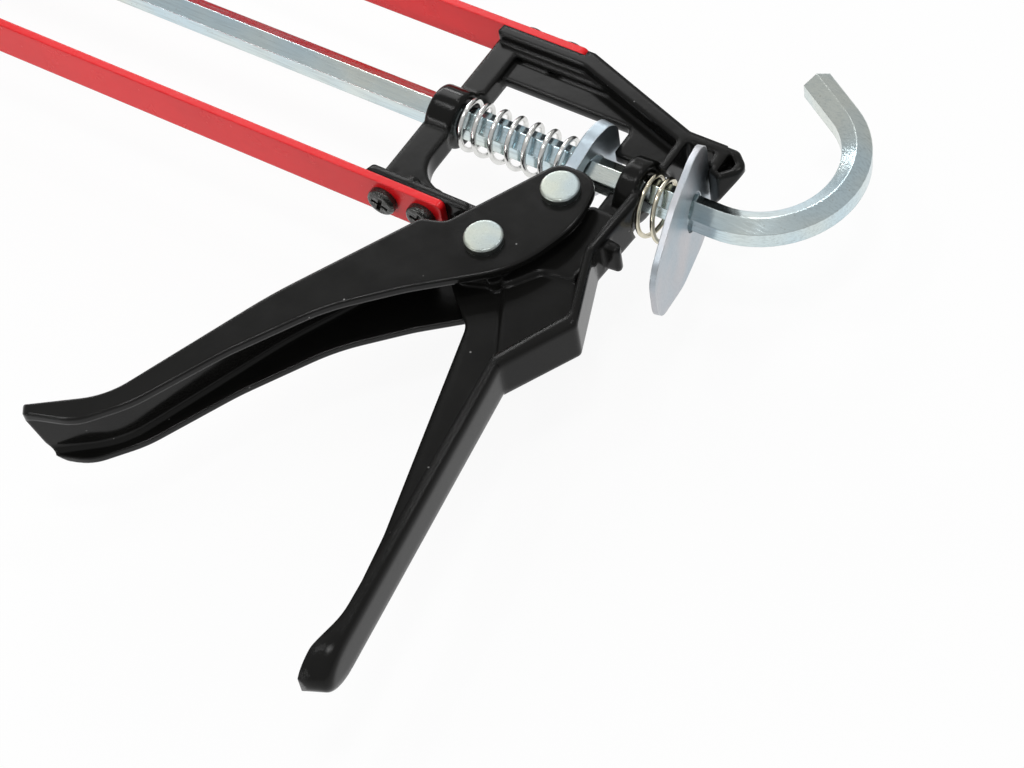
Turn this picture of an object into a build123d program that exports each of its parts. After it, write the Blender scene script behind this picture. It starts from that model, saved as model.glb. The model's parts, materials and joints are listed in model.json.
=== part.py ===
from build123d import *
import math
import os

# Skeleton caulking gun lying on its side, in millimetres.
# X runs rearward along the push rod's axis, Y towards the top strap, Z up through the gun's left side.
# The origin lies on the rod axis, in the plane of the front plate's inner face.

# Overall layout
bay_length = 232.0            # front plate's inner face to the grip's datum, just in front of the casting
top_strap_height = 26.5       # rod axis to the top strap's inner face
bottom_strap_depth = 26.5     # rod axis to the bottom strap's inner face
strap_width = 11.0
strap_thickness = 2.0
top_strap_reach = 29.0        # straps' rear ends, measured back from the grip's datum
bottom_strap_reach = 23.8

# Clearances
running_gap = 0.06            # radial play of pins and of the rod's corners in their bores
seat_gap = 0.2                # play between pieces that rest on each other and move
cheek_gap = 0.3               # play between the trigger's cheeks and the pivot boss
thread_gap = 0.03             # radial play of threads and rivet shanks in their holes

# Push rod
rod_across_flats = 7.0
hook_start = 80.0             # start of the bend, measured back from the grip's datum
hook_radius = 21.3            # centre line of the bend
hook_angle = 148.0
hook_tip = 13.0
stub_diameter = 6.0
stub_length = 15.0
rod_front = 26.0              # shoulder where the hexagon ends and the turned stub starts

# Push disc and its fastenings
disc_diameter = 44.0
disc_thickness = 2.0
disc_rim = 4.0
nut_across_flats = 10.0
nut_height = 5.0
washer_diameter = 11.0
washer_thickness = 1.6

# Front plate
plate_thickness = 2.0
slot_width = 17.5
tab_length = 12.0
strap_bend_radius = 3.0
strap_corner_radius = 1.3
rivet_diameter = 3.0
rivet_head_diameter = 5.6
rivet_head_height = 1.4
rivet_spacing = 5.8

# Casting
web_thickness = 2.4
core_thickness = 6.8
panel_thickness = 4.6
rail_thickness = 6.0
flange_width = 12.0           # spine, hump and handle flange
pad_thickness = 3.0           # strap pads
front_boss_start = 4.2        # measured back from the grip's datum, like all places on the casting
front_boss_length = 7.3
front_boss_diameter = 14.2
rear_boss_start = 56.5
rear_boss_length = 4.9
rear_boss_diameter = 15.6
handle_depth = 144.7          # rod axis to the foot of the handle
screw_diameter = 4.0
screw_length = 5.4
screw_head_diameter = 7.4
screw_head_height = 2.2
screw_spacing = 10.8
recess_length = 4.6           # cross recess in the screw heads
recess_width = 1.1
recess_depth = 1.2
top_screw_start = 12.5
bottom_screw_start = 7.4

# Trigger and its pins
pivot_x = 39.9
pivot_y = -33.9
drive_x = 47.7
drive_y = -13.8
cheek_width = 17.0            # over the two cheeks
cheek_thickness = 2.0
trigger_wall = 2.2
trigger_inner_radius = 1.8    # inside corners between the wall and the cheeks
tip_slant = 4.4               # set-back of the wall's free end on the right side
tip_left_radius = 1.8         # corners of that end
tip_right_radius = 7.0
pivot_diameter = 6.0
pivot_boss_diameter = 15.0
drive_pin_diameter = 5.0
pin_head_diameter = 9.3
pin_head_height = 1.9

# Plates and springs on the rod
drive_plate_thickness = 3.2
drive_plate_tilt = 8.0
drive_plate_top = 10.1
drive_plate_half_width = 9.4
drive_plate_tail_half_width = 5.6
drive_plate_tail = 17.9
drive_hole_diameter = 8.9
drive_spring_diameter = 13.0
drive_wire = 1.3
drive_turns = 7
release_plate_thickness = 1.5
release_plate_tilt = 12.0
release_plate_x = 73.9        # rear face on the rod axis
release_plate_top = 11.5
release_plate_bottom = 26.6
release_plate_half_width = 14.7
release_hole_diameter = 9.7
release_spring_diameter = 15.5
release_wire = 1.2
release_turns = 2.5
end_coil_gap = 2.0            # air between the drive spring's end coils and the next turn
drive_sag = 0.2               # how far each loose spring hangs off the rod axis
release_sag = 2.2
sag_way = (-0.55, -0.835)     # towards the right side and the handle, in Y and Z

# Sizes that follow from the ones above
rod_corner = rod_across_flats / 2 / math.cos(math.pi / 6)
bore_radius = rod_corner + running_gap
cheek_outer = cheek_width / 2
cheek_inner = cheek_outer - cheek_thickness
pad_half = strap_width / 2
flange_half = flange_width / 2
strap_middle = (top_strap_height - bottom_strap_depth) / 2
plate_radius = (top_strap_height + bottom_strap_depth) / 2 - seat_gap
grip = Pos(bay_length, 0, 0)


def outline(corners):
    """Closed face from corners (x, y, radius): straight runs joined by tangent arcs."""
    starts, ends, edges = [], [], []
    count = len(corners)
    for i in range(count):
        x, y, radius = corners[i]
        corner = Vector(x, y)
        before = (Vector(*corners[i - 1][:2]) - corner).normalized()
        after = (Vector(*corners[(i + 1) % count][:2]) - corner).normalized()
        half = math.radians(before.get_angle(after)) / 2
        cut = radius / math.tan(half)
        starts.append(corner + before * cut)
        ends.append(corner + after * cut)
        if radius > 0:
            middle = corner + (before + after).normalized() * (radius / math.sin(half) - radius)
            edges.append(ThreePointArc(starts[-1], middle, ends[-1]))
    for i in range(count):
        if (starts[i] - ends[i - 1]).length > 1e-6:
            edges.append(Line(ends[i - 1], starts[i]))
    return make_face(edges)


def slab(corners, thickness, rim=0.0):
    """Plate of the given outline, centred on the gun's middle plane, with its rims rounded."""
    plate = extrude(outline(corners), amount=thickness / 2, both=True)
    if rim > 0:
        plate = fillet([e for e in plate.edges() if abs(abs(e.center().Z) - thickness / 2) < 0.01], rim)
    return plate


def offset_path(path, distance):
    """Open path of corners (x, y, radius) moved to its right by a distance."""
    points = [Vector(x, y) for x, y, _ in path]
    moved = []
    for i, (x, y, radius) in enumerate(path):
        before = (points[i] - points[i - 1]).normalized() if i else None
        after = (points[i + 1] - points[i]).normalized() if i + 1 < len(path) else None
        sides = [Vector(d.Y, -d.X) for d in (before, after) if d]
        side = sum(sides, Vector()).normalized()
        shift = distance / side.dot(sides[0])
        turn = before.X * after.Y - before.Y * after.X if before and after else 0
        grow = distance if turn > 0 else -distance
        moved.append((x + side.X * shift, y + side.Y * shift, radius + grow if radius else 0))
    return moved


def rod_x(diameter, start, length, y=0.0, z=0.0):
    """Round bar along X."""
    align = (Align.CENTER, Align.CENTER, Align.MIN)
    return Pos(start, y, z) * Rot(0, 90, 0) * Cylinder(diameter / 2, length, align=align)


def rod_y(diameter, x, start, length, z=0.0):
    """Round bar along Y, a negative length running towards the bottom strap."""
    align = (Align.CENTER, Align.CENTER, Align.MIN)
    turn = Rot(-90, 0, 0) if length > 0 else Rot(90, 0, 0)
    return Pos(x, start, z) * turn * Cylinder(diameter / 2, abs(length), align=align)


def rod_z(diameter, x, y, length):
    """Round bar along Z, centred on the gun's middle plane."""
    return Pos(x, y, 0) * Cylinder(diameter / 2, length)


def hexagon_face(across_flats, x):
    """Hexagon across X with corners up and down."""
    return Plane((x, 0, 0), x_dir=(0, 0, 1), z_dir=(1, 0, 0)) * RegularPolygon(
        across_flats / 2, 6, major_radius=False
    )


# Frame casting
# Places on it are measured from the grip's datum and the rod axis.
lug_top = 16.7
lug_roof = 13.9
lug_bottom = 9.9
lug_wall = 1.7
beak_pocket_depth = 4.0
rib_start = 62.4
rib_wall = 1.9
window_top = 14.7
window_floor = -19.7
window_sill = -22.5
window_front = 12.8
window_rear = 48.9
block_front = 52.6
sill_rear = 54.2
block_top = -10.7
rail_front = 6.2
leg_front = front_boss_start
leg_rear = 11.8
leg_sweep = 9.0
spine_top = 61.4
palm_end_x = 71.2             # palm face carried on to the foot's end
palm_radius = 1.9
hump_radius = 1.2
foot_length = 9.0             # length of the foot's half oval
foot_slant = 24.0
stop_x = release_plate_x - lug_bottom * math.tan(math.radians(release_plate_tilt)) + seat_gap


def casting_web():
    """Thin web of the whole casting with its window."""
    web = slab(
        [
            (leg_front, -bottom_strap_depth + 1, 0),
            (leg_front, 0, 0),
            (rail_front, 0, 0),
            (rail_front, top_strap_height - 1, 0),
            (30, top_strap_height - 1, 0),
            (rib_start + 1, lug_top - 2.5, 0),
            (rib_start + 1, -3, 0),
            (61.2, -23.9, 0),
            (68, -42.4, 0),
            (58.8, -59.4, 0),
            (67, -131.5, 0),
            (64.9, -131.5, 0),
            (60.3, -107, 40),
            (45.6, -51.9, 6),
            (36, -43.4, 6),
            (27, -31.9, 6),
            (bottom_strap_reach + 0.6, -bottom_strap_depth + 1, 0),
        ],
        web_thickness,
    )
    window = slab(
        [
            (window_front, window_top, 1.2),
            (window_rear, window_top, 2),
            (window_rear, bore_radius + 2, 1),
            (rear_boss_start + 0.2, bore_radius + 2, 0),
            (rear_boss_start + 0.2, -bore_radius, 0),
            (sill_rear, -bore_radius, 0),
            (sill_rear, block_top, 0),
            (block_front, block_top, 2.2),
            (block_front, window_floor, 2),
            (37.5, window_floor, 2),
            (32.5, window_sill, 2),
            (leg_rear, window_sill, leg_sweep),
            (leg_rear, -2, 0),
            (window_front, -2, 0),
        ],
        2 * flange_width,
    )
    core = slab(
        [
            (28, window_sill - 0.3, 0),
            (32.5, window_sill - 0.3, 2),
            (37.5, window_floor, 2),
            (block_front, window_floor, 0),
            (block_front, block_top, 2.2),
            (spine_top, block_top, 0),
            (61.4, -31, 0),
            (53.5, -32.2, 3),
            (48.4, -39, 4),
            (36, -43.6, 5),
            (28.5, -31.9, 6),
        ],
        core_thickness,
        rim=0.7,
    )
    panel = slab(
        [
            (49, -29.9, 0),
            (61, -29.4, 0),
            (67, -41.5, 0),
            (58, -58.9, 0),
            (47.5, -39.4, 0),
        ],
        panel_thickness,
    )
    return web - window + core + panel


def casting_rails():
    """Front rail and leg either side of the front boss, strap pads, sloping rail and rear lug."""
    rail = slab(
        [
            (rail_front, 0, 0),
            (rail_front, top_strap_height - 1, 0),
            (window_front, top_strap_height - 1, 0),
            (window_front, 0, 0),
        ],
        rail_thickness,
        rim=0.5,
    )
    leg = slab(
        [
            (leg_front, 1 - bottom_strap_depth, 0),
            (leg_front, 0, 0),
            (leg_rear, 0, 0),
            (leg_rear, window_sill, leg_sweep),
            (29.4, window_sill, 0),
            (29.4, 1 - bottom_strap_depth, 0),
        ],
        rail_thickness,
        rim=0.5,
    )
    band = slab(
        [
            (rail_front + 0.4, top_strap_height - 5.2, 0),
            (rail_front + 0.4, top_strap_height - 1, 0),
            (34, top_strap_height - 1, 0),
            (41, top_strap_height - 5.6, 0),
        ],
        rail_thickness,
        rim=0.5,
    )
    pad_under = top_strap_height - pad_thickness
    shoulder = top_strap_height + strap_thickness * 0.75
    top = slab(
        [
            (rail_front - 0.2, pad_under, 1),
            (rail_front + 0.3, top_strap_height, 0),
            (top_strap_reach + seat_gap, top_strap_height, 0),
            (top_strap_reach + seat_gap, shoulder, 0),
            (top_strap_reach + 2.2, shoulder, 1.2),
            (rib_start + 1.2, lug_top, 3),
            (stop_x + lug_wall, lug_top, 0.3),
            (stop_x + lug_wall, lug_bottom, 0.8),
            (stop_x, lug_bottom, 0.8),
            (stop_x, lug_roof, 0.8),
            (rib_start + rib_wall, lug_roof, 0.8),
            (rib_start + rib_wall, bore_radius, 0),
            (rib_start, bore_radius, 0),
            (rib_start, lug_roof - 0.8, 1.5),
            (top_strap_reach + 1.5, pad_under, 2),
        ],
        strap_width,
    )
    bottom = slab(
        [
            (1.9, -bottom_strap_depth, 0),
            (2.6, pad_thickness - 0.8 - bottom_strap_depth, 1),
            (29, pad_thickness - 0.8 - bottom_strap_depth, 1),
            (31, -bottom_strap_depth, 0),
        ],
        strap_width,
    )
    return [rail, leg, band, top, casting_beak(), bottom]


def casting_beak():
    """Hood behind the rear lug, drawn out on the left side only, with a pocket in its near face."""
    beak = slab(
        [
            (stop_x + 1, lug_top, 0),
            (76.6, lug_top, 2.5),
            (80.2, 13.4, 2.6),
            (79.6, 10.8, 2.2),
            (76.2, 7.4, 1),
            (stop_x + 1, 8.4, 0),
        ],
        strap_width,
        rim=0.6,
    )
    trim = make_face(Polyline((73.6, -6.5), (84, -6.5), (84, 10.2), close=True))
    beak -= extrude(Plane.XZ * trim, amount=40, both=True)
    pocket = slab(
        [
            (74.8, 15.5, 0.5),
            (77.9, 12.7, 1),
            (77.6, 11.0, 1),
            (75.6, 8.8, 0.4),
            (74.8, 9.3, 0.4),
        ],
        2 * beak_pocket_depth,
    )
    return beak - Pos(0, 0, pad_half) * pocket


def rounded_hump(flange, radius):
    """Flange with the rims of the hump's rearward faces rounded."""
    rims = []
    for edge in flange.edges():
        middle = edge.center()
        behind = middle.Y < -25 and middle.X > 67.3 - abs(middle.Y + 43) * 0.35
        if behind and abs(abs(middle.Z) - flange_half) < 0.01:
            rims.append(edge)
    return fillet(rims, radius)


def casting_grip():
    """Flange down the spine, round the hump and along the handle's palm side."""
    spine = slab(
        [
            (spine_top + 2.4, 0, 0),
            (62.1, -23.5, 2),
            (69.6, -43.1, 1.5),
            (60.2, -60.2, 0),
            (57.6, -59.1, 0),
            (66.6, -41.5, 2.5),
            (60.2, -24, 2),
            (spine_top, 0, 0),
        ],
        flange_width,
    )
    return [rounded_hump(spine, hump_radius), casting_handle()]


def casting_handle():
    """Handle flange: flat palm face with a tongue-shaped foot and well rounded rims."""
    top_y = -59.3
    handle = slab(
        [
            (60.1, top_y, 0),
            (palm_end_x, -handle_depth, 0),
            (64.6, -handle_depth, 0),
            (64.3, 6.2 - handle_depth, 8),
            (65.9, 15.5 - handle_depth, 20),
            (57.6, top_y + 0.2, 0),
        ],
        flange_width,
    )
    corners = Pos(0, -foot_length, 0) * Box(40, 2 * foot_length, 2 * flange_width)
    oval = extrude(Plane.YZ * Ellipse(foot_length, flange_half), amount=20, both=True)
    handle -= Pos(64.6, foot_length - handle_depth, 0) * Rot(0, 0, foot_slant) * (corners - oval)
    palm = Plane((60.1, top_y, 0), x_dir=(0, 0, 1), z_dir=(handle_depth + top_y, palm_end_x - 60.1, 0))
    rims = []
    for edge in handle.edges():
        flat = all(abs(palm.to_local_coords(edge @ t).Z) < 0.01 for t in (0, 0.5, 1))
        if flat and min((edge @ t).Y for t in (0, 0.5, 1)) < top_y - 1:
            rims.append(edge)
    return fillet(rims, palm_radius)


def casting_bosses():
    """Rod bosses, pivot boss, trigger stop, the ear on the spine and the lumps on the bottom pad."""
    front = rod_x(front_boss_diameter, front_boss_start, front_boss_length)
    front = fillet(front.edges().filter_by(GeomType.CIRCLE), 0.8)
    rear = rod_x(rear_boss_diameter, rear_boss_start, rear_boss_length)
    rear = fillet(rear.edges().filter_by(GeomType.CIRCLE), 0.7)
    ear = [(61, -17.4, 0), (65.8, -18.1, 1), (66.2, -20.3, 1), (61, -20.8, 0)]
    bosses = [
        front,
        rear,
        rod_z(pivot_boss_diameter, pivot_x, pivot_y, 2 * (cheek_inner - cheek_gap)),
        rod_z(4, 45.1, -38.9, 8.4),
        slab(ear, 7.6, rim=0.5),
    ]
    for side in (-1, 1):
        bosses.append(rod_y(4.2, 13.2, 1 - bottom_strap_depth, 2.3, z=side * 3.3))
    return bosses


def casting_cuts():
    """Rod bore, spring seats, pivot bore and screw holes."""
    rear_face = rear_boss_start + rear_boss_length
    drop_y, drop_z = (release_sag * part for part in sag_way)
    rear_seat = rod_x(release_spring_diameter + 1, rear_face, 7, y=drop_y, z=drop_z)
    front_seat = rod_x(drive_spring_diameter + 2.2, front_boss_start + front_boss_length, 5)
    pivot = rod_z(pivot_diameter + 2 * running_gap, pivot_x, pivot_y, 4 * cheek_outer)
    cuts = [rod_x(2 * bore_radius, -5, 100), rear_seat, front_seat, pivot]
    hole = screw_diameter + 2 * thread_gap
    for i in range(2):
        shift = i * screw_spacing
        cuts.append(rod_y(hole, top_screw_start + shift, top_strap_height + 1, -1 - screw_length))
        cuts.append(rod_y(hole, bottom_screw_start + shift, -1 - bottom_strap_depth, 1 + screw_length))
    return cuts


def frame_casting():
    body = casting_web()
    for piece in casting_rails() + casting_grip() + casting_bosses():
        body += piece
    for cut in casting_cuts():
        body -= cut
    return grip * body


# Straps, front plate and their fastenings
def strap(height, reach, screw_start, side):
    """Flat strap along the bay whose front end turns in over the front plate."""
    inner = side * height
    outer = side * (height + strap_thickness)
    front = -plate_thickness
    tab = side * (height - tab_length)
    bend = strap_bend_radius
    profile = outline(
        [
            (front, inner, bend - strap_thickness),
            (bay_length + reach, inner, 0),
            (bay_length + reach, outer, 0),
            (front - strap_thickness, outer, bend),
            (front - strap_thickness, tab, 0),
            (front, tab, 0),
        ]
    )
    body = extrude(profile, amount=pad_half, both=True)
    ends = [e for e in body.edges().filter_by(Axis.Y) if e.center().X > bay_length]
    ends += [e for e in body.edges().filter_by(Axis.X) if abs(e.center().Y - tab) < 0.01]
    body = fillet(ends, strap_corner_radius)
    for i in range(2):
        x = bay_length + screw_start + i * screw_spacing
        body -= rod_y(screw_diameter + 2 * thread_gap, x, outer + side, -side * 3 * strap_thickness)
        body -= rod_x(
            rivet_diameter + 2 * thread_gap,
            front - 2 * strap_thickness,
            4 * strap_thickness,
            y=tab + side * (rivet_spacing * i + 3.2),
        )
    return body


def front_plate():
    """Pressed plate with a forward rim and a nozzle slot that opens to the loading side."""
    plate = rod_x(2 * plate_radius, -plate_thickness, plate_thickness, y=strap_middle)
    slot = rod_x(slot_width, -10, 20)
    slot += Pos(0, 0, plate_radius) * Box(20, slot_width, 2 * plate_radius)
    plate = fillet(plate.faces().sort_by(Axis.X)[0].edges(), strap_bend_radius - strap_thickness + 0.1)
    plate -= slot
    for side, height in ((1, top_strap_height), (-1, bottom_strap_depth)):
        for i in range(2):
            y = side * (height - tab_length + rivet_spacing * i + 3.2)
            plate -= rod_x(rivet_diameter + 2 * thread_gap, -10, 20, y=y)
    return plate


def front_rivets(height, side):
    """Two rivets through a strap's tab and the front plate."""
    rivets = []
    for i in range(2):
        y = side * (height - tab_length + rivet_spacing * i + 3.2)
        front = -plate_thickness - strap_thickness
        shank = rod_x(rivet_diameter, front, plate_thickness + strap_thickness, y=y)
        head = rod_x(rivet_head_diameter, front - rivet_head_height, rivet_head_height, y=y)
        rivets.append(head + shank)
    return Compound(rivets)


def strap_screws(height, screw_start, side):
    """Two pan-head screws through a strap into the casting's pad."""
    screws = []
    for i in range(2):
        x = bay_length + screw_start + i * screw_spacing
        outer = side * (height + strap_thickness)
        shank = rod_y(screw_diameter, x, outer, -side * (screw_length + strap_thickness - 0.6))
        head = rod_y(screw_head_diameter, x, outer, side * screw_head_height)
        top = head.faces().sort_by(Axis.Y)[-1 if side > 0 else 0]
        head = fillet(top.edges(), 1.0)
        for turn in (20, 110):
            slot = Box(recess_length, 2 * recess_depth, recess_width)
            head -= Pos(x, outer + side * screw_head_height, 0) * Rot(0, turn, 0) * slot
        screws.append(head + shank)
    return Compound(screws)


# Trigger and its pins
front_edge = [
    (-27.7, -119.7, 0),
    (-11.6, -108.4, 20),
    (5, -68.5, 120),
    (23.2, -34.8, 0),
]
cheek_corners = [
    (-27.7, -119.7, 0.7),
    (-11.6, -108.4, 20),
    (5, -68.5, 120),
    (23.2, -34.8, 2.5),
    (28.9, -33.1, 3.5),
    (42.9, -6.6, 5),
    (54.0, -6.6, 6),
    (56.2, -20.5, 22),
    (50.5, -37.5, 28),
    (31, -53.4, 50),
    (18, -66, 50),
    (5.3, -86.5, 70),
    (-5.2, -107.5, 28),
    (-13.5, -117.5, 12),
    (-25.0, -121.2, 2),
]


def trigger():
    """Channel-shaped lever: two cheeks joined by a wall along the front."""
    body = slab(cheek_corners, cheek_width, rim=0.5)
    beyond = [(19, -32.5, 0), (19, 10, 0), (75, 10, 0), (75, -140, 0), (-40, -140, 0)]
    hollow = slab(offset_path(front_edge, trigger_wall) + beyond, 2 * cheek_inner)
    corners = []
    for edge in hollow.edges():
        middle = edge.center()
        beside_wall = middle.X < 26 and -122 < middle.Y < -36
        if beside_wall and abs(abs(middle.Z) - cheek_inner) < 0.01:
            corners.append(edge)
    body -= fillet(corners, trigger_inner_radius)
    tip = Vector(*front_edge[0][:2])
    way = (Vector(*front_edge[1][:2]) - tip).normalized()
    end = Plane(tip, x_dir=way, z_dir=(-way.Y, way.X, 0))
    kept = outline(
        [
            (0.3, -cheek_outer, tip_left_radius),
            (12, -cheek_outer, 0),
            (12, cheek_outer, 0),
            (tip_slant, cheek_outer, tip_right_radius),
        ]
    )
    body -= end * (Box(24, 2 * cheek_width, 20) - extrude(kept, amount=20, both=True))
    body -= rod_z(pivot_diameter + 2 * thread_gap, pivot_x, pivot_y, 2 * cheek_width)
    body -= rod_z(drive_pin_diameter + 2 * thread_gap, drive_x, drive_y, 2 * cheek_width)
    return grip * body


def headed_pin(diameter, x, y):
    """Rivet across the cheeks with a flat head each side."""
    pin = rod_z(diameter, x, y, cheek_width)
    head = Pos(x, y, cheek_outer) * Cylinder(
        pin_head_diameter / 2, pin_head_height, align=(Align.CENTER, Align.CENTER, Align.MIN)
    )
    head = fillet(head.faces().sort_by(Axis.Z)[-1].edges(), 0.6)
    return grip * (pin + head + mirror(head, about=Plane.XY))


# Plates on the rod
def drive_plate():
    """Thick plate on the rod, leaning back at the top, its tail in front of the drive pin."""
    lean = math.radians(drive_plate_tilt)
    face_x = drive_x - (drive_pin_diameter / 2 + seat_gap) / math.cos(lean) - drive_y * math.tan(lean)
    shape = outline(
        [
            (drive_plate_top, -drive_plate_half_width, 4.3),
            (drive_plate_top, drive_plate_half_width, 4.3),
            (2.2, drive_plate_half_width - 0.1, 9),
            (-5.5, drive_plate_tail_half_width, 2.5),
            (-drive_plate_tail, drive_plate_tail_half_width - 0.6, 3),
            (-drive_plate_tail, 0.6 - drive_plate_tail_half_width, 3),
            (-5.5, -drive_plate_tail_half_width, 2.5),
            (2.2, 0.1 - drive_plate_half_width, 9),
        ]
    )
    shape -= Circle(drive_hole_diameter / 2)
    plane = Plane((0, 0, 0), x_dir=(0, 1, 0), z_dir=(1, 0, 0))
    plate = extrude(plane * shape, amount=-drive_plate_thickness)
    return grip * Pos(face_x, 0, 0) * Rot(0, 0, -drive_plate_tilt) * plate


def release_plate():
    """Long oval thumb plate on the rod, its top edge against the rear lug."""
    half = release_plate_half_width
    shape = outline(
        [
            (release_plate_top, -half + 2.2, 6),
            (release_plate_top, half - 2.2, 6),
            (3.1, half, 14),
            (-10.9, half - 1.0, 16),
            (-release_plate_bottom, half - 7.4, 7),
            (-release_plate_bottom, 7.4 - half, 7),
            (-10.9, 1.0 - half, 16),
            (3.1, -half, 14),
        ]
    )
    shape -= Circle(release_hole_diameter / 2)
    plane = Plane((0, 0, 0), x_dir=(0, 1, 0), z_dir=(1, 0, 0))
    plate = extrude(plane * shape, amount=-release_plate_thickness)
    return grip * Pos(release_plate_x, 0, 0) * Rot(0, 0, release_plate_tilt) * plate


# Push rod and disc
def push_rod():
    """Hexagon rod with a turned stub in front and a bent hook behind."""
    bend_x = bay_length + hook_start
    straight = extrude(hexagon_face(rod_across_flats, rod_front), amount=bend_x - rod_front)
    axis = Axis((bend_x, hook_radius, 0), (0, 0, 1))
    bend = revolve(hexagon_face(rod_across_flats, bend_x), axis=axis, revolution_arc=hook_angle)
    turn = math.radians(hook_angle)
    tip_start = Vector(bend_x + hook_radius * math.sin(turn), hook_radius * (1 - math.cos(turn)), 0)
    tip = extrude(hexagon_face(rod_across_flats, 0), amount=hook_tip)
    tip = Pos(tip_start) * Rot(0, 0, hook_angle) * tip
    stub = rod_x(stub_diameter, rod_front - stub_length, stub_length)
    stub = chamfer(stub.faces().sort_by(Axis.X)[0].edges(), 0.6)
    return straight + bend + tip + stub


def nut(start):
    """Hexagon nut on the rod's stub."""
    body = extrude(hexagon_face(nut_across_flats, start), amount=nut_height)
    return body - rod_x(stub_diameter + 2 * thread_gap, start - 1, nut_height + 2)


disc_front = rod_front - nut_height - disc_thickness
washer_front = disc_front - washer_thickness
front_nut_start = washer_front - nut_height


def push_disc():
    """Pressed disc with a rim turned back towards the grip."""
    radius = disc_diameter / 2
    hole = stub_diameter / 2 + thread_gap
    rim_back = disc_front + disc_rim
    back = disc_front + disc_thickness
    profile = outline(
        [
            (disc_front, hole, 0),
            (disc_front, radius, 2.5),
            (rim_back, radius, 0),
            (rim_back, radius - 1.5, 0),
            (back, radius - 1.5, 1),
            (back, hole, 0),
        ]
    )
    return revolve(profile, axis=Axis.X)


def lock_washer():
    """Split spring washer between the disc and the front nut."""
    body = rod_x(washer_diameter, washer_front, washer_thickness)
    body -= rod_x(stub_diameter + 2 * thread_gap, washer_front - 1, washer_thickness + 2)
    return body - Pos(washer_front, 0, washer_diameter / 2) * Rot(35, 0, 0) * Box(9, 0.8, washer_diameter)


# Springs
def coil_points(radius, start, heights):
    """Points of a coil round X, two to a turn, with the axial place of each."""
    points = []
    for i, height in enumerate(heights):
        angle = math.pi * i
        points.append(Vector(start + height, radius * math.cos(angle), radius * math.sin(angle)))
    return points


def coil_heights(turns, length, end_pitch, seat_rise):
    """Axial places at each half turn, with the end turns' own pitch and the last one on a leaning seat."""
    inner = (length - 2 * end_pitch) / (turns - 2)
    halves = round(2 * turns)
    steps = []
    for i in range(halves):
        closed = i < 2 or i >= halves - 2
        steps.append((end_pitch if closed else inner) / 2)
    places = [sum(steps[:i]) for i in range(len(steps) + 1)]
    for i in range(len(places)):
        share = max(0.0, (i - (halves - 3)) / 3)
        high = i % 2 == 0 if seat_rise > 0 else i % 2 == 1
        places[i] += share * abs(seat_rise) if high else 0.0
    return places


def coil_tangents(radius, heights):
    """Directions of the wire at each half turn."""
    tangents = []
    for i in range(len(heights)):
        low = heights[max(i - 1, 0)]
        high = heights[min(i + 1, len(heights) - 1)]
        halves = min(i + 1, len(heights) - 1) - max(i - 1, 0)
        rise = (high - low) / (halves * math.pi)
        angle = math.pi * i
        tangents.append(Vector(rise, -radius * math.sin(angle), radius * math.cos(angle)).normalized())
    return tangents


def biarc(start, start_way, end, end_way):
    """Two tangent arcs between two points with given directions."""
    span = end - start
    ways = start_way + end_way
    a = 4 - ways.dot(ways)
    b = 2 * span.dot(ways)
    c = -span.dot(span)
    reach = (-b + math.sqrt(b * b - 4 * a * c)) / (2 * a)
    first = start + start_way * reach
    second = end - end_way * reach
    middle = (first + second) * 0.5
    return [TangentArc(start, middle, tangent=start_way), TangentArc(middle, end, tangent=second - first)]


def coil(name, diameter, wire, start, length, turns, end_pitch, seat_lean):
    """Compression spring round the rod, as one swept tube."""
    radius = (diameter - wire) / 2
    heights = coil_heights(turns, length - wire, end_pitch, 2 * radius * math.tan(seat_lean))
    points = coil_points(radius, start + wire / 2, heights)
    ways = coil_tangents(radius, heights)
    edges = []
    for i in range(len(points) - 1):
        edges += biarc(points[i], ways[i], points[i + 1], ways[i + 1])
    path = Wire(edges)
    samples = [path @ (i / 400) for i in range(401)]
    near = int(400 / turns * 0.5)
    gap = min(
        (samples[i] - samples[j]).length - wire
        for i in range(401)
        for j in range(i + near, 401)
    )
    print(name, "least gap to itself", round(gap, 2), "mm")
    section = Plane(points[0], z_dir=ways[0]) * Circle(wire / 2)
    return sweep(section, path=path)


def drive_spring():
    """Between the front boss and the drive plate's tail side."""
    lean = math.radians(drive_plate_tilt)
    rear_face = drive_x - (drive_pin_diameter / 2 + seat_gap) / math.cos(lean) - drive_y * math.tan(lean)
    plate_front = rear_face - drive_plate_thickness / math.cos(lean)
    start = front_boss_start + front_boss_length + seat_gap
    length = plate_front - drive_spring_diameter / 2 * math.tan(lean) - seat_gap - start
    size = drive_spring_diameter
    pitch = drive_wire + end_coil_gap
    hang = Pos(0, drive_sag * sag_way[0], drive_sag * sag_way[1])
    return grip * hang * coil("drive_spring", size, drive_wire, start, length, drive_turns, pitch, lean)


def release_spring():
    """Between the rear boss and the release plate's upper half."""
    lean = math.radians(release_plate_tilt)
    front_face = release_plate_x - release_plate_thickness / math.cos(lean)
    start = rear_boss_start + rear_boss_length + seat_gap
    length = front_face - release_spring_diameter / 2 * math.tan(lean) - seat_gap - start
    size = release_spring_diameter
    pitch = (length - release_wire) / release_turns
    hang = Pos(0, release_sag * sag_way[0], release_sag * sag_way[1])
    wound = coil("release_spring", size, release_wire, start, length, release_turns, pitch, -lean)
    return grip * hang * wound


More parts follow.
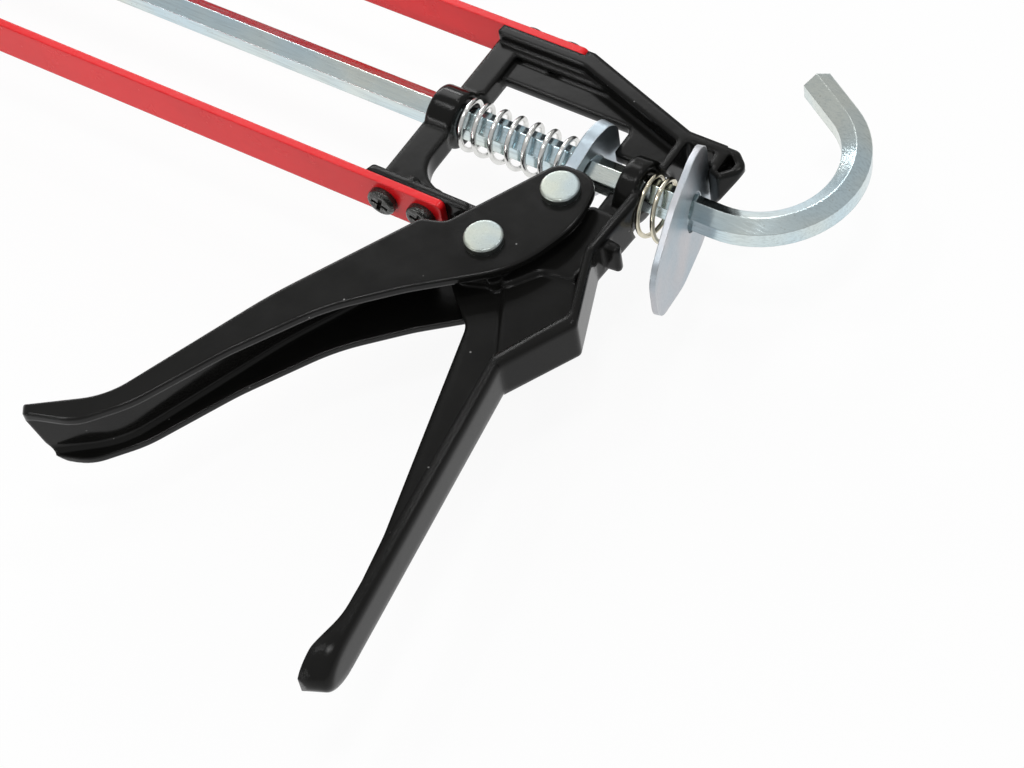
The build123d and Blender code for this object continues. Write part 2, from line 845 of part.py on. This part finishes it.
parts = {
    "frame_casting": frame_casting(),
    "top_strap": strap(top_strap_height, top_strap_reach, top_screw_start, 1),
    "bottom_strap": strap(bottom_strap_depth, bottom_strap_reach, bottom_screw_start, -1),
    "front_plate": front_plate(),
    "top_front_rivets": front_rivets(top_strap_height, 1),
    "bottom_front_rivets": front_rivets(bottom_strap_depth, -1),
    "top_strap_screws": strap_screws(top_strap_height, top_screw_start, 1),
    "bottom_strap_screws": strap_screws(bottom_strap_depth, bottom_screw_start, -1),
    "trigger": trigger(),
    "pivot_pin": headed_pin(pivot_diameter, pivot_x, pivot_y),
    "drive_pin": headed_pin(drive_pin_diameter, drive_x, drive_y),
    "drive_plate": drive_plate(),
    "drive_spring": drive_spring(),
    "push_rod": push_rod(),
    "push_disc": push_disc(),
    "push_disc_back_nut": nut(rod_front - nut_height),
    "push_disc_lock_washer": lock_washer(),
    "push_disc_front_nut": nut(front_nut_start),
    "release_plate": release_plate(),
    "release_spring": release_spring(),
}

os.makedirs("parts", exist_ok=True)
for name, part in parts.items():
    export_step(part, f"parts/{name}.step")
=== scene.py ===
import bpy
import json
import math
from mathutils import Matrix, Vector


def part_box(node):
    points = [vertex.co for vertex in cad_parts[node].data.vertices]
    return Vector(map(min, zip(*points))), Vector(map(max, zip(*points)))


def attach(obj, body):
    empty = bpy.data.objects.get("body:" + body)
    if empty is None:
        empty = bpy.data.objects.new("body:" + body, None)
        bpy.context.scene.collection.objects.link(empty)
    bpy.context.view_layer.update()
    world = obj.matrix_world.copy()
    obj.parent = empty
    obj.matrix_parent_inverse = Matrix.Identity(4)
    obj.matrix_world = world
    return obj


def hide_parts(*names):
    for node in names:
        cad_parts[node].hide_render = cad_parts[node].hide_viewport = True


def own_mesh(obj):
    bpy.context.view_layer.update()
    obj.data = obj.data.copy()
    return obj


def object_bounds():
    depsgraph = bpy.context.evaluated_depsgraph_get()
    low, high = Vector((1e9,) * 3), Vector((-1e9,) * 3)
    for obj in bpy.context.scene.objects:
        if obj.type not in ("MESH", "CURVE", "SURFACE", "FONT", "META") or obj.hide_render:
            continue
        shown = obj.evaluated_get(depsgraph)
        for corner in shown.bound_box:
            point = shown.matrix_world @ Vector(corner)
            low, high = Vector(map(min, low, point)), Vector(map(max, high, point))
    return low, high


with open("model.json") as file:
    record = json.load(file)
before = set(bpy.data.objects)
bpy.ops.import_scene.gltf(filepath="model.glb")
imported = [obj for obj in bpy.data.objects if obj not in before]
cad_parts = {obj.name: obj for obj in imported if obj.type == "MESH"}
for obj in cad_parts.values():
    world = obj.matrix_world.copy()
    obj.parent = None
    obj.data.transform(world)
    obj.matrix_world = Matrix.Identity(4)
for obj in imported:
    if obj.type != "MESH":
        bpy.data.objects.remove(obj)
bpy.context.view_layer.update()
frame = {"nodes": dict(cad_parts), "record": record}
nodes = frame["nodes"]
scene = bpy.context.scene


# Node helpers
class Shader:
    """A material being wired up around one Principled shader."""

    bevel_samples = 8
    # Cosines between a rounded normal and the face's own, off an edge and on it
    flat_cosine = 0.97
    edge_cosine = 0.8
    # Places of the colours among the sockets of a Mix node
    colour_a = 6
    colour_b = 7
    mixed_colour = 2

    def __init__(self, name):
        self.material = bpy.data.materials.new(name)
        self.material.use_nodes = True
        self.tree = self.material.node_tree
        self.principled = self.tree.nodes["Principled BSDF"]
        self.place = self.add("ShaderNodeTexCoord").outputs["Object"]
        self.normal = None

    def add(self, kind, **settings):
        node = self.tree.nodes.new(kind)
        for key, value in settings.items():
            setattr(node, key, value)
        return node

    def feed(self, socket, value):
        """Give a socket a number, a colour or the output of another node."""
        if isinstance(value, (int, float)):
            socket.default_value = value
        elif isinstance(value, tuple):
            socket.default_value = (*value, 1.0)
        else:
            self.tree.links.new(value, socket)

    def fixed(self, **values):
        """Plain values of the Principled shader; _ stands for a space in a socket's name."""
        for key, value in values.items():
            self.principled.inputs[key.replace("_", " ")].default_value = value

    def colour(self, output):
        self.feed(self.principled.inputs["Base Color"], output)

    def roughness(self, output):
        self.feed(self.principled.inputs["Roughness"], output)

    def stretched(self, scale):
        """Object coordinates scaled along each axis."""
        node = self.add("ShaderNodeMapping")
        node.inputs["Scale"].default_value = scale
        self.feed(node.inputs["Vector"], self.place)
        return node.outputs["Vector"]

    def coordinate(self, axis):
        """One of the object's own coordinates, X, Y or Z."""
        node = self.add("ShaderNodeSeparateXYZ")
        self.feed(node.inputs["Vector"], self.place)
        return node.outputs[axis]

    def noise(self, scale, detail, rough=0.55, vector=None):
        node = self.add("ShaderNodeTexNoise")
        self.feed(node.inputs["Scale"], scale)
        self.feed(node.inputs["Detail"], detail)
        self.feed(node.inputs["Roughness"], rough)
        self.feed(node.inputs["Vector"], vector or self.place)
        return node.outputs["Fac"]

    def spots(self, scale):
        """Distance from scattered points, 0 at each point."""
        node = self.add("ShaderNodeTexVoronoi")
        self.feed(node.inputs["Scale"], scale)
        self.feed(node.inputs["Vector"], self.place)
        return node.outputs["Distance"]

    def ramp(self, value, low, high, start=0.0, end=1.0):
        """From start to end as the value goes from low to high."""
        node = self.add("ShaderNodeMapRange")
        self.feed(node.inputs["From Min"], low)
        self.feed(node.inputs["From Max"], high)
        self.feed(node.inputs["To Min"], start)
        self.feed(node.inputs["To Max"], end)
        self.feed(node.inputs["Value"], value)
        return node.outputs["Result"]

    def product(self, a, b):
        node = self.add("ShaderNodeMath", operation="MULTIPLY")
        self.feed(node.inputs[0], a)
        self.feed(node.inputs[1], b)
        return node.outputs["Value"]

    def mix(self, factor, a, b):
        """Colour a where the factor is 0, colour b where it is 1."""
        node = self.add("ShaderNodeMix", data_type="RGBA")
        self.feed(node.inputs["Factor"], factor)
        self.feed(node.inputs[self.colour_a], a)
        self.feed(node.inputs[self.colour_b], b)
        return node.outputs[self.mixed_colour]

    def bevel(self, radius):
        """Normals rounded over sharp edges."""
        node = self.add("ShaderNodeBevel", samples=self.bevel_samples)
        self.feed(node.inputs["Radius"], radius)
        return node.outputs["Normal"]

    def edge_mask(self, rounded):
        """1 on sharp edges, where the rounded normal leaves the face's own, and 0 on flat faces."""
        flat = self.add("ShaderNodeNewGeometry").outputs["True Normal"]
        dot = self.add("ShaderNodeVectorMath", operation="DOT_PRODUCT")
        self.feed(dot.inputs[0], rounded)
        self.feed(dot.inputs[1], flat)
        return self.ramp(dot.outputs["Value"], self.flat_cosine, self.edge_cosine)

    def bump(self, height, strength, distance):
        """One more bump on top of the normal so far."""
        node = self.add("ShaderNodeBump")
        self.feed(node.inputs["Strength"], strength)
        self.feed(node.inputs["Distance"], distance)
        self.feed(node.inputs["Height"], height)
        if self.normal is not None:
            self.feed(node.inputs["Normal"], self.normal)
        self.normal = node.outputs["Normal"]
        self.feed(self.principled.inputs["Normal"], self.normal)


def scaled(values, factor):
    return tuple(value * factor for value in values)


# Materials, with the radius of the rounded edges, where the paints and the zinc get a painted edge
# highlight and the screws a rubbed edge
paint_edge = 0.0005
metal_edge = 0.0004


def black_paint(name, edge_radius, grip_radius, gloss):
    """Glossy black coat with a painted highlight as thin pale edges, orange peel and dust; its edges are
    softer on the grip.
    """
    grip_begins = -0.05
    grip_full = -0.066
    deep = (0.0064, 0.0063, 0.0059)
    cloudy = (0.0086, 0.0085, 0.0080)
    edge_highlight_grey = (0.06, 0.06, 0.062)
    dust = (0.4, 0.4, 0.39)
    paint = Shader(name)
    radius = paint.ramp(paint.coordinate("Y"), grip_begins, grip_full, edge_radius, grip_radius)
    paint.normal = paint.bevel(radius)
    edge = paint.edge_mask(paint.bevel(paint_edge))
    cloud = paint.ramp(paint.noise(scale=70, detail=3), low=0.3, high=0.7)
    base = paint.mix(cloud, deep, cloudy)
    patches = paint.ramp(paint.noise(scale=500, detail=4), low=0.58, high=0.75, end=0.3)
    # pale grey in patches on sharp edges: a painted edge highlight
    base = paint.mix(paint.product(edge, patches), base, edge_highlight_grey)
    specks = paint.ramp(paint.spots(scale=230), low=0.065, high=0.03)
    dusty = paint.ramp(paint.noise(scale=55, detail=2), low=0.52, high=0.57, end=0.7)
    paint.colour(paint.mix(paint.product(specks, dusty), base, dust))
    paint.roughness(paint.ramp(paint.noise(scale=130, detail=4), low=0.25, high=0.75, start=0.1, end=0.19))
    paint.bump(paint.noise(scale=800, detail=2), strength=0.03, distance=0.0002)
    paint.bump(paint.noise(scale=150, detail=2), strength=0.03, distance=0.0006)
    paint.fixed(Specular_IOR_Level=gloss)
    return paint.material


def red_paint():
    """Gloss red coat on flat steel, paler along its edges as a painted highlight."""
    deep = (0.74, 0.0085, 0.013)
    bright = (0.82, 0.011, 0.016)
    edge_highlight_red = (0.85, 0.09, 0.10)
    paint = Shader("red_paint")
    paint.normal = paint.bevel(paint_edge)
    edge = paint.edge_mask(paint.normal)
    cloud = paint.ramp(paint.noise(scale=60, detail=3), low=0.3, high=0.7)
    base = paint.mix(cloud, deep, bright)
    patches = paint.ramp(paint.noise(scale=420, detail=4), low=0.45, high=0.7, end=0.6)
    # paler red in patches on sharp edges: a painted edge highlight
    paint.colour(paint.mix(paint.product(edge, patches), base, edge_highlight_red))
    paint.roughness(paint.ramp(paint.noise(scale=140, detail=4), low=0.25, high=0.75, start=0.2, end=0.3))
    paint.bump(paint.noise(scale=700, detail=2), strength=0.1, distance=0.0002)
    paint.bump(paint.noise(scale=160, detail=2), strength=0.06, distance=0.0008)
    paint.fixed(Specular_IOR_Level=0.28)
    return paint.material


def zinc(name, tint, grain, rough, cool, warm, hue_scale, streak, dent, speckle):
    """Clear zinc plating: grey metal with tints from blue to straw, drawing marks, dents and specks, and a
    painted highlight along its edges.
    """
    dull = scaled(tint, 0.88)
    drawn_dark = scaled(tint, 0.55)
    edge_highlight_tone = (0.78, 0.80, 0.78)
    brown = (0.24, 0.18, 0.12)
    cloud_grain = scaled(grain, 1.5)
    drawn_grain = scaled(grain, 30)
    hue_share = 0.55
    edge_highlight_share = 0.5
    streak_depth = 0.3
    metal = Shader(name)
    metal.normal = metal.bevel(metal_edge)
    edge = metal.edge_mask(metal.normal)
    cloud = metal.noise(scale=1.0, detail=4, rough=0.6, vector=metal.stretched(cloud_grain))
    base = metal.mix(metal.ramp(cloud, low=0.32, high=0.68), dull, tint)
    hue = metal.ramp(metal.noise(hue_scale, detail=2), low=0.38, high=0.62)
    base = metal.mix(hue_share, base, metal.mix(hue, cool, warm))
    drawn = metal.noise(scale=1.0, detail=3, rough=0.6, vector=metal.stretched(drawn_grain))
    base = metal.mix(metal.ramp(drawn, low=0.45, high=0.7, end=streak), base, drawn_dark)
    # half-way to pale grey on sharp edges: a painted edge highlight
    base = metal.mix(metal.product(edge, edge_highlight_share), base, edge_highlight_tone)
    specks = metal.ramp(metal.spots(scale=800), low=0.2, high=0.06)
    patches = metal.ramp(metal.noise(scale=140, detail=3), low=0.5, high=0.66, end=speckle)
    metal.colour(metal.mix(metal.product(specks, patches), base, brown))
    metal.roughness(metal.ramp(drawn, low=0.3, high=0.7, start=rough[0], end=rough[1]))
    metal.bump(drawn, strength=streak * streak_depth, distance=0.0002)
    metal.bump(metal.noise(scale=75, detail=2), strength=dent, distance=0.001)
    metal.fixed(Metallic=1.0)
    return metal.material


def wire(name, tint, rough):
    """Spring wire with fine marks."""
    dull = scaled(tint, 0.82)
    metal = Shader(name)
    cloud = metal.ramp(metal.noise(scale=300, detail=3), low=0.3, high=0.7)
    metal.colour(metal.mix(cloud, dull, tint))
    marks = metal.noise(scale=1200, detail=3)
    metal.roughness(metal.ramp(marks, low=0.3, high=0.7, start=rough[0], end=rough[1]))
    metal.bump(metal.noise(scale=1800, detail=2), strength=0.06, distance=0.0001)
    metal.fixed(Metallic=1.0)
    return metal.material


def black_screw():
    """Black oxide with a coarse grain and rubbed edges."""
    oxide = (0.06, 0.06, 0.057)
    steel = (0.36, 0.35, 0.31)
    metal = Shader("black_screw")
    metal.normal = metal.bevel(metal_edge)
    edge = metal.edge_mask(metal.normal)
    patches = metal.ramp(metal.noise(scale=900, detail=3), low=0.45, high=0.7, end=0.6)
    metal.colour(metal.mix(metal.product(edge, patches), oxide, steel))
    metal.roughness(metal.ramp(metal.noise(scale=1000, detail=3), low=0.3, high=0.7, start=0.16, end=0.32))
    metal.bump(metal.noise(scale=1500, detail=3), strength=0.25, distance=0.0003)
    metal.bump(metal.noise(scale=650, detail=2), strength=0.55, distance=0.0008)
    metal.fixed(Metallic=0.7)
    return metal.material


looks = {
    "black_paint": black_paint("black_paint", edge_radius=0.0008, grip_radius=0.0008, gloss=0.19),
    "casting_paint": black_paint("casting_paint", edge_radius=0.0016, grip_radius=0.0036, gloss=0.16),
    "red_paint": red_paint(),
    "black_screw": black_screw(),
    "zinc_plate": zinc(
        "zinc_plate", tint=(0.48, 0.52, 0.54), grain=(60, 60, 60), rough=(0.34, 0.44),
        cool=(0.38, 0.48, 0.56), warm=(0.60, 0.55, 0.57), hue_scale=50, streak=0.1, dent=0.05, speckle=0.3,
    ),
    "zinc_pin": zinc(
        "zinc_pin", tint=(0.41, 0.45, 0.44), grain=(60, 60, 60), rough=(0.26, 0.38),
        cool=(0.34, 0.41, 0.43), warm=(0.46, 0.48, 0.39), hue_scale=90, streak=0.2, dent=0.06, speckle=0.35,
    ),
    "zinc_rod": zinc(
        "zinc_rod", tint=(0.66, 0.76, 0.79), grain=(4, 60, 60), rough=(0.13, 0.25),
        cool=(0.52, 0.70, 0.80), warm=(0.78, 0.79, 0.68), hue_scale=40, streak=0.4, dent=0.22, speckle=0.6,
    ),
    "bright_wire": wire("bright_wire", tint=(0.84, 0.84, 0.82), rough=(0.16, 0.28)),
    "yellow_wire": wire("yellow_wire", tint=(0.72, 0.67, 0.53), rough=(0.14, 0.26)),
}
slots = {part["node"]: part["material_slot"] for part in frame["record"]["subparts"]}
own_looks = {"pivot_pin": "zinc_pin", "drive_pin": "zinc_pin", "frame_casting": "casting_paint"}
for name, node in nodes.items():
    node.data.materials.clear()
    node.data.materials.append(looks[own_looks.get(name, slots[name])])


# Springs
wire_sides = 16
steps_per_turn = 64
# Both springs sag down and towards the handle
hang_way = Vector((0, -0.55, -0.835))
# These three are counted in turns
pitch_blur = (-0.12, -0.06, 0, 0.06, 0.12)
seat_turns = 1.5
short_way = 0.002
# The wire's two ends are smaller by this share of its thickness on each side
end_inset = 0.08


def spring(name, diameter, wire_size, start, length, turns, end_pitch, lean, high, sag):
    """Loose coil along X as one tube; its last turns lie on a seat that leans outward at high, +Y or -Y."""
    radius = (diameter - wire_size) / 2
    count = int(turns * steps_per_turn)
    travel = length - wire_size
    active = (travel - 2 * end_pitch) / (turns - 2)
    blur_reach = pitch_blur[-1]

    def along(turn):
        turn = min(max(turn, 0.0), turns)
        if turn < 1:
            return end_pitch * turn
        if turn > turns - 1:
            return travel - end_pitch * (turns - turn)
        return end_pitch + active * (turn - 1)

    def point(turn):
        if turn < blur_reach or turn > turns - blur_reach:
            forward = along(turn)
        else:
            forward = sum(along(turn + shift) for shift in pitch_blur) / len(pitch_blur)
        angle = 2 * math.pi * turn
        y = radius * math.cos(angle)
        z = radius * math.sin(angle)
        share = min(max(0.0, (turn - (turns - seat_turns)) / seat_turns), 1.0)
        seated = math.tan(lean) * (radius + high * y) * share
        return Vector((start + wire_size / 2 + forward + seated, y, z))

    vertices = []
    faces = []
    for i in range(count + 1):
        turn = turns * i / count
        centre = point(turn)
        way = (point(turn + short_way) - point(turn - short_way)).normalized()
        out = Vector((0, centre.y, centre.z)).normalized()
        side = way.cross(out).normalized()
        out = side.cross(way).normalized()
        inset = wire_size * end_inset if i in (0, count) else 0.0
        for k in range(wire_sides):
            angle = 2 * math.pi * k / wire_sides
            spoke = out * math.cos(angle) + side * math.sin(angle)
            vertices.append(centre + spoke * (wire_size / 2 - inset))
        if i:
            ring = (i - 1) * wire_sides
            for k in range(wire_sides):
                a = ring + k
                b = ring + (k + 1) % wire_sides
                faces.append((a, b, b + wire_sides, a + wire_sides))
    faces.append(tuple(range(wire_sides))[::-1])
    faces.append(tuple(range(count * wire_sides, (count + 1) * wire_sides)))
    hang = hang_way * sag
    mesh = bpy.data.meshes.new(name)
    mesh.from_pydata([tuple(vertex + hang) for vertex in vertices], [], faces)
    mesh.update()
    mesh.polygons.foreach_set("use_smooth", [len(face) == 4 for face in faces])
    piece = bpy.data.objects.new(name, mesh)
    scene.collection.objects.link(piece)
    return piece


def place_spring(piece, node, slot):
    """The finer coil stands in for the CAD spring, which is hidden, and hangs on the frame's body."""
    piece.data.materials.append(looks[slot])
    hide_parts(node)
    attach(piece, "frame")
    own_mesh(piece)


drive_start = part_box("drive_spring")[0].x
drive_length = 0.0309
drive = spring(
    "drive_coil", diameter=0.013, wire_size=0.0013, start=drive_start, length=drive_length,
    turns=7, end_pitch=0.0033, lean=math.radians(8), high=1, sag=0.0002,
)
place_spring(drive, "drive_spring", "bright_wire")

release_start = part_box("release_spring")[0].x
release = spring(
    "release_coil", diameter=0.0155, wire_size=0.0012, start=release_start, length=0.00892,
    turns=2.5, end_pitch=0.00309, lean=math.radians(12), high=-1, sag=0.0022,
)
place_spring(release, "release_spring", "yellow_wire")


# Floor
floor_size = 30
floor_x = 0.2
floor_gap = 0.0006
paper_grey = (0.9, 0.9, 0.9, 1)
paper_roughness = 0.9
paper_gloss = 0.1
white_share = 0.92


def seen_white(tree):
    """1 for rays from the camera, from a mirror or through glass, which show the white background."""
    rays = tree.nodes.new("ShaderNodeLightPath")
    total = rays.outputs["Is Camera Ray"]
    for kind in ("Is Glossy Ray", "Is Transmission Ray"):
        larger = tree.nodes.new("ShaderNodeMath")
        larger.operation = "MAXIMUM"
        tree.links.new(total, larger.inputs[0])
        tree.links.new(rays.outputs[kind], larger.inputs[1])
        total = larger.outputs["Value"]
    return total


def floor_paper():
    """Pale paper that is seen as nearly pure white and keeps a trace of the shadow."""
    paper = bpy.data.materials.new("floor_paper")
    paper.use_nodes = True
    tree = paper.node_tree
    diffuse = tree.nodes["Principled BSDF"]
    diffuse.inputs["Base Color"].default_value = paper_grey
    diffuse.inputs["Roughness"].default_value = paper_roughness
    diffuse.inputs["Specular IOR Level"].default_value = paper_gloss
    glow = tree.nodes.new("ShaderNodeEmission")
    share = tree.nodes.new("ShaderNodeMath")
    share.operation = "MULTIPLY"
    share.inputs[1].default_value = white_share
    blend = tree.nodes.new("ShaderNodeMixShader")
    tree.links.new(seen_white(tree), share.inputs[0])
    tree.links.new(share.outputs["Value"], blend.inputs["Fac"])
    tree.links.new(diffuse.outputs["BSDF"], blend.inputs[1])
    tree.links.new(glow.outputs["Emission"], blend.inputs[2])
    tree.links.new(blend.outputs["Shader"], tree.nodes["Material Output"].inputs["Surface"])
    return paper


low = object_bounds()[0]
bpy.ops.mesh.primitive_plane_add(size=floor_size, location=(floor_x, 0, low[2] - floor_gap))
floor = bpy.context.object
floor.name = "floor"
floor.data.materials.append(floor_paper())


# World light, a little stronger overhead than at the horizon
horizon_strength = 0.48
zenith_strength = 0.58
world = bpy.data.worlds.new("studio")
scene.world = world
world.use_nodes = True
sky_tree = world.node_tree
sky = sky_tree.nodes["Background"]
sky.inputs["Color"].default_value = (1, 1, 1, 1)
direction = sky_tree.nodes.new("ShaderNodeTexCoord")
height = sky_tree.nodes.new("ShaderNodeSeparateXYZ")
strength = sky_tree.nodes.new("ShaderNodeMapRange")
strength.inputs["From Min"].default_value = 0.0
strength.inputs["From Max"].default_value = 1.0
strength.inputs["To Min"].default_value = horizon_strength
strength.inputs["To Max"].default_value = zenith_strength
sky_tree.links.new(direction.outputs["Generated"], height.inputs["Vector"])
sky_tree.links.new(height.outputs["Z"], strength.inputs["Value"])
sky_tree.links.new(strength.outputs["Result"], sky.inputs["Strength"])


# Lamps
lamp_target = Vector((0.27, -0.04, 0))


def softbox(name, turn, rise, distance, size, power):
    """Soft lamp that faces the target from a turn and a rise in degrees."""
    turn = math.radians(turn)
    rise = math.radians(rise)
    way = Vector((math.cos(rise) * math.cos(turn), math.cos(rise) * math.sin(turn), math.sin(rise)))
    lamp = bpy.data.lights.new(name, "AREA")
    lamp.shape = "RECTANGLE"
    lamp.size, lamp.size_y = size
    lamp.energy = power
    box = bpy.data.objects.new(name, lamp)
    box.location = lamp_target + way * distance
    box.rotation_euler = (-way).to_track_quat("-Z", "Y").to_euler()
    scene.collection.objects.link(box)


softbox("key", turn=-45, rise=86, distance=1.1, size=(0.2, 0.18), power=2.0)
softbox("back", turn=131, rise=36.5, distance=1.235, size=(0.5, 0.44), power=2.2)
softbox("low_strip", turn=134, rise=20, distance=1.1, size=(0.7, 0.05), power=2.2)
softbox("left_strip", turn=189, rise=64, distance=1.1, size=(0.25, 0.06), power=0.95)
softbox("right_strip", turn=78, rise=62, distance=1.1, size=(0.25, 0.06), power=0.95)
softbox("front_strip", turn=242, rise=14, distance=1.0, size=(0.8, 0.05), power=1.6)


# Camera
camera_turn = math.radians(41.691)
camera_rise = math.radians(52.876)
camera_roll = math.radians(11.624)
camera_place = Vector((0.53531, -0.33019, 0.47801))
film_width = 36
photo_width_pixels = 1024
focal_length_pixels = 2744
nearest_seen = 0.01

forward = Vector((
    -math.sin(camera_turn) * math.cos(camera_rise),
    math.cos(camera_turn) * math.cos(camera_rise),
    -math.sin(camera_rise),
))
level = Vector((math.cos(camera_turn), math.sin(camera_turn), 0))
below = forward.cross(level)
right = level * math.cos(camera_roll) + below * math.sin(camera_roll)
down = below * math.cos(camera_roll) - level * math.sin(camera_roll)
pose = Matrix((right, -down, -forward)).transposed().to_4x4()
pose.translation = camera_place

camera_data = bpy.data.cameras.new("camera")
camera = bpy.data.objects.new("camera", camera_data)
scene.collection.objects.link(camera)
camera.matrix_world = pose
camera_data.sensor_fit = "HORIZONTAL"
camera_data.sensor_width = film_width
camera_data.lens = film_width * focal_length_pixels / photo_width_pixels
camera_data.clip_start = nearest_seen
scene.camera = camera

scene.view_settings.view_transform = "Standard"
